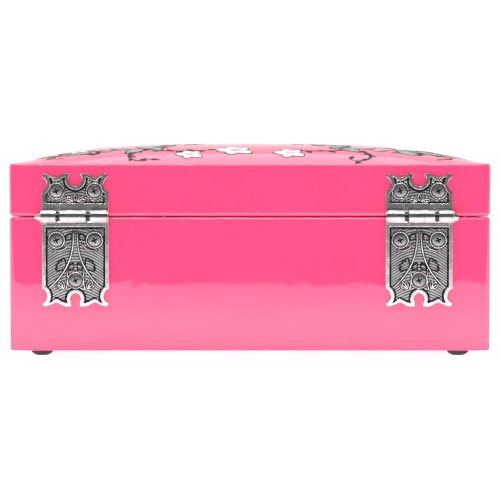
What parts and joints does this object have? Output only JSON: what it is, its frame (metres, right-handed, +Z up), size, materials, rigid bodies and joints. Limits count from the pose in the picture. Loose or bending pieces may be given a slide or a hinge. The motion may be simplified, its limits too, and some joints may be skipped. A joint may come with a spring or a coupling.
{
  "type": "ballerina jewellery box",
  "caption": "Lacquered wooden jewellery box with a domed hinged lid, lined compartments, ring rolls and a key-wound musical movement that turns a fold-down dancer",
  "frame": {"origin": "On the table, under the middle of the whole box with its hinges", "axes": "+Z up, -Y the front, +Y the back with the hinges, +X to the right seen from the front"},
  "size_m": [0.19, 0.1462, 0.0837],
  "materials": {
    "pink_lacquer": "high gloss lacquer",
    "black_board": "matt paint",
    "foot_rubber": "matt",
    "antique_silver": "antique plated and embossed",
    "screw_steel": "satin",
    "stay_steel": "satin",
    "pine": "bare",
    "velvet_board": "velvet covered",
    "velvet_pad": "velvet",
    "mirror_glass": "polished",
    "cast_zinc": "as cast",
    "spring_steel": "polished",
    "steel": "satin",
    "brass": "satin",
    "nylon": "moulded",
    "dancer_plastic": "painted",
    "tutu_net": "stiff net"
  },
  "bodies": {
    "case": {"base_shell": "pink_lacquer", "bottom_panel": "black_board", "rubber_feet": "foot_rubber", "base_leaf_left": "antique_silver", "base_leaf_right": "antique_silver", "hinge_pin_left": "antique_silver", "hinge_pin_right": "antique_silver", "base_leaf_screws": "screw_steel", "divider_main": "velvet_board", "divider_ring": "velvet_board", "divider_back": "velvet_board", "deck_riser": "velvet_board", "deck_cleats": "pine", "stage_deck": "velvet_board", "compartment_pads": "velvet_pad", "ring_rolls": "velvet_pad", "stay_base_screw": "stay_steel", "bedplate": "cast_zinc", "spring_housing": "cast_zinc", "mainspring": "spring_steel", "comb": "spring_steel", "comb_screws": "screw_steel", "governor_bracket": "steel", "lever_post": "steel", "movement_screws": "screw_steel"},
    "lid": {"lid_shell": "pink_lacquer", "lid_dome": "pink_lacquer", "lid_leaf_left": "antique_silver", "lid_leaf_right": "antique_silver", "lid_leaf_screws": "screw_steel", "lid_lining": "velvet_pad", "lid_mirror": "mirror_glass", "stay_lid_screw": "stay_steel"},
    "stay": {"lid_stay": "stay_steel"},
    "winder": {"winding_key": "brass", "winding_arbor": "steel"},
    "drive": {"drive_wheel": "brass", "spindle": "steel"},
    "cylinder": {"music_cylinder": "brass", "cylinder_arbor": "steel", "cylinder_pinion": "brass", "cylinder_gear": "brass"},
    "governor": {"governor_wheel": "nylon", "governor_arbor": "steel"},
    "fly": {"governor_worm": "steel", "air_fly": "steel"},
    "brake": {"stop_lever": "steel"},
    "dancer_mount": {"dancer_spring": "spring_steel"},
    "dancer": {"dancer_stem": "steel", "dancer_figure": "dancer_plastic", "dancer_tutu": "tutu_net"}
  },
  "joints": [
    {"name": "lid_hinge", "type": "hinge", "parent": "case", "child": "lid", "pos_m": [0, 0.0701, 0.05495], "axis": [-1, 0, 0], "range_deg": [0, 95]},
    {"name": "stay_pivot", "type": "hinge", "parent": "lid", "child": "stay", "pos_m": [-0.0867, 0.04854, 0.06295], "axis": [-1, 0, 0], "range_deg": [-47.5, 0]},
    {"name": "key_turn", "type": "hinge", "parent": "case", "child": "winder", "pos_m": [0.052, 0.0389, 0.009], "axis": [0, 0, 1], "continuous": true},
    {"name": "drive_spin", "type": "hinge", "parent": "case", "child": "drive", "pos_m": [0.052, 0.0389, 0.028], "axis": [0, 0, 1], "continuous": true},
    {"name": "cylinder_spin", "type": "hinge", "parent": "case", "child": "cylinder", "pos_m": [0.052, 0.0109, 0.0226], "axis": [0, 1, 0], "continuous": true},
    {"name": "governor_spin", "type": "hinge", "parent": "case", "child": "governor", "pos_m": [0.0425, -0.0031, 0.0226], "axis": [0, 1, 0], "continuous": true},
    {"name": "fly_spin", "type": "hinge", "parent": "case", "child": "fly", "pos_m": [0.0369, -0.0049, 0.0226], "axis": [0, 0, 1], "continuous": true},
    {"name": "brake_swing", "type": "hinge", "parent": "case", "child": "brake", "pos_m": [0.0369, -0.0126, 0.023], "axis": [1, 0, 0], "range_deg": [0, 8]},
    {"name": "dancer_tilt", "type": "hinge", "parent": "case", "child": "dancer_mount", "pos_m": [0.052, 0.0389, 0.049], "axis": [-1, 0, 0], "range_deg": [0, 90], "deforming": ["dancer_spring"]},
    {"name": "dancer_spin", "type": "hinge", "parent": "dancer_mount", "child": "dancer", "pos_m": [0.052, 0.0389, 0.049], "axis": [0, -1, 0], "continuous": true}
  ],
  "couplings": [
    {"joint": "stay_pivot", "follows": "lid_hinge", "ratio": -0.5},
    {"joint": "brake_swing", "follows": "lid_hinge", "ratio": 0.084211},
    {"joint": "dancer_tilt", "follows": "lid_hinge", "ratio": 0.94737},
    {"joint": "cylinder_spin", "follows": "drive_spin", "ratio": 3.25},
    {"joint": "governor_spin", "follows": "drive_spin", "ratio": -7.0417},
    {"joint": "fly_spin", "follows": "drive_spin", "ratio": 56.333},
    {"joint": "dancer_spin", "follows": "drive_spin", "ratio": 1}
  ]
}
